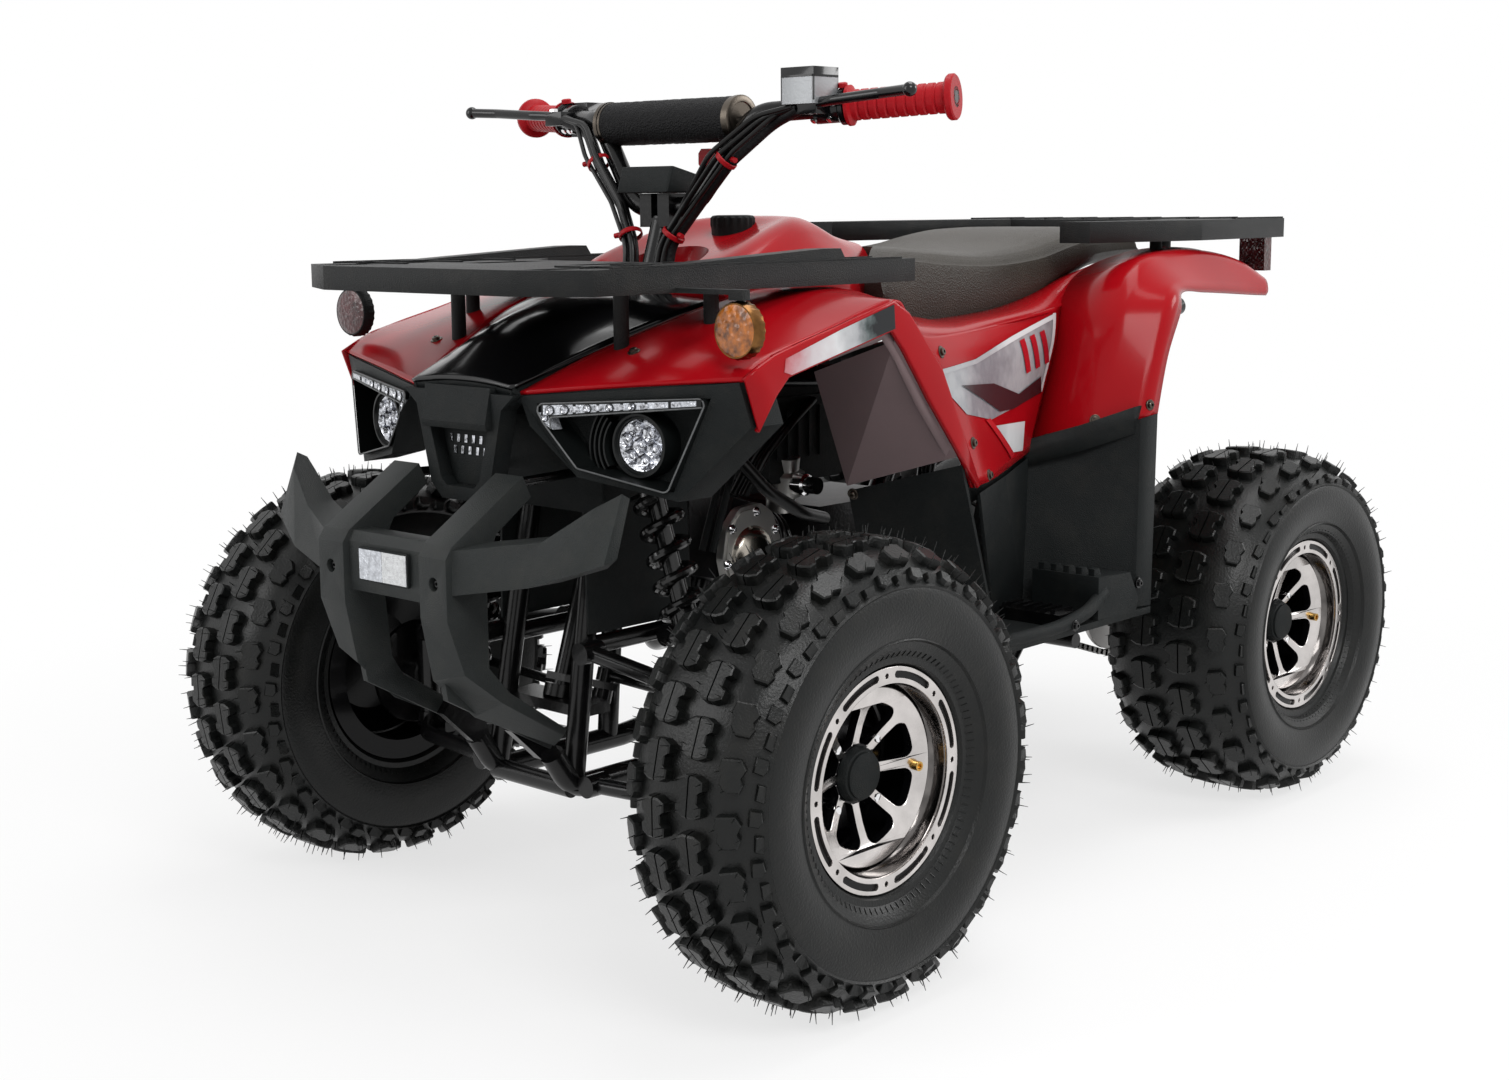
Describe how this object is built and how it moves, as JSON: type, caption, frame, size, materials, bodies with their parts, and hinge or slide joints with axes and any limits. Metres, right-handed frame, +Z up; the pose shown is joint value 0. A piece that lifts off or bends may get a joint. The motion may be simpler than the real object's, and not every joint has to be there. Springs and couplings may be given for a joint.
{
  "type": "quad bike",
  "caption": "Small youth quad bike: low-pressure knobbly tyres, straddle seat, handlebar steering, moulded fenders, front and rear racks, front bumper and open engine bay.",
  "frame": {"origin": "on the ground under the middle of the machine's length and width", "axes": "+X forward, +Y to the rider's left, +Z up"},
  "size_m": [1.456, 0.922, 0.93],
  "materials": {
    "tyre": "matte moulded rubber",
    "rim": "black paint with a turned bright edge",
    "bare_steel": "bare steel",
    "black_steel": "semi-gloss black paint",
    "pad_cover": "black foam pad cover",
    "grip_rubber": "soft red ribbed rubber",
    "black_plastic": "grained black plastic",
    "cable_rubber": "black outer sheath",
    "engine_metal": "dark cast engine cases",
    "black_spring": "gloss black painted spring",
    "reflector": "faceted reflector",
    "lamp_glass": "clear lamp lens",
    "black_gloss": "gloss black plastic",
    "red_gloss": "gloss red plastic",
    "dull_plastic": "plain mud guard plastic",
    "seat_cover": "grained black vinyl",
    "rack_plastic": "dark grained plastic"
  },
  "bodies": {
    "chassis": {"frame": "black_steel", "engine": "engine_metal", "exhaust": "black_steel", "foot_pegs": "black_steel", "swing_arm": "black_steel", "drive_chain": "bare_steel", "suspension_arms": "black_steel", "shock_absorbers": "black_spring", "front_bumper": "black_plastic", "reflectors": "reflector", "headlamp_mask": "black_plastic", "headlamps": "lamp_glass", "grille": "black_plastic", "hood_panel": "black_gloss", "front_fenders": "red_gloss", "arch_liners": "dull_plastic", "fuel_cap": "black_plastic", "tank_cover": "red_gloss", "seat": "seat_cover", "rear_fenders": "red_gloss", "footwells": "black_plastic", "front_rack": "rack_plastic", "rear_rack": "rack_plastic"},
    "steering": {"steering_stem": "black_steel", "handlebar": "black_steel", "bar_pad": "pad_cover", "grips": "grip_rubber", "hand_controls": "black_plastic", "instrument_cover": "black_plastic", "control_cables": "cable_rubber"},
    "tie_rod_left_body": {"tie_rod_left": "black_steel"},
    "tie_rod_right_body": {"tie_rod_right": "black_steel"},
    "knuckle_left_body": {"knuckle_left": "black_steel"},
    "knuckle_right_body": {"knuckle_right": "black_steel"},
    "front_wheel_left": {"tyre_front_left": "tyre", "rim_front_left": "rim"},
    "front_wheel_right": {"tyre_front_right": "tyre", "rim_front_right": "rim"},
    "rear_wheels": {"rear_axle": "bare_steel", "tyre_rear_left": "tyre", "tyre_rear_right": "tyre", "rim_rear_left": "rim", "rim_rear_right": "rim"}
  },
  "joints": [
    {"name": "steering_hinge", "type": "hinge", "parent": "chassis", "child": "steering", "pos_m": [0.319, 0, 0.786], "axis": [-0.309, 0, 0.9511], "range_deg": [-32, 32]},
    {"name": "kingpin_left", "type": "hinge", "parent": "chassis", "child": "knuckle_left_body", "pos_m": [0.463, 0.268, 0.236], "axis": [0, 0, 1], "range_deg": [-32, 32]},
    {"name": "kingpin_right", "type": "hinge", "parent": "chassis", "child": "knuckle_right_body", "pos_m": [0.463, -0.268, 0.236], "axis": [0, 0, 1], "range_deg": [-32, 32]},
    {"name": "tie_rod_left_eye", "type": "hinge", "parent": "steering", "child": "tie_rod_left_body", "pos_m": [0.42598, 0, 0.25612], "axis": [-0.309, 0, 0.9511], "range_deg": [-32, 32]},
    {"name": "tie_rod_right_eye", "type": "hinge", "parent": "steering", "child": "tie_rod_right_body", "pos_m": [0.42598, 0, 0.25612], "axis": [-0.309, 0, 0.9511], "range_deg": [-32, 32]},
    {"name": "front_wheel_left_spin", "type": "hinge", "parent": "knuckle_left_body", "child": "front_wheel_left", "pos_m": [0.463, 0.376, 0.236], "axis": [0, 1, 0], "continuous": true},
    {"name": "front_wheel_right_spin", "type": "hinge", "parent": "knuckle_right_body", "child": "front_wheel_right", "pos_m": [0.463, -0.376, 0.236], "axis": [0, 1, 0], "continuous": true},
    {"name": "rear_wheels_spin", "type": "hinge", "parent": "chassis", "child": "rear_wheels", "pos_m": [-0.497, 0, 0.231], "axis": [0, 1, 0], "continuous": true}
  ],
  "couplings": [
    {"joint": "kingpin_left", "follows": "steering_hinge", "ratio": 1},
    {"joint": "kingpin_right", "follows": "steering_hinge", "ratio": 1},
    {"joint": "tie_rod_left_eye", "follows": "steering_hinge", "ratio": -1},
    {"joint": "tie_rod_right_eye", "follows": "steering_hinge", "ratio": -1}
  ]
}
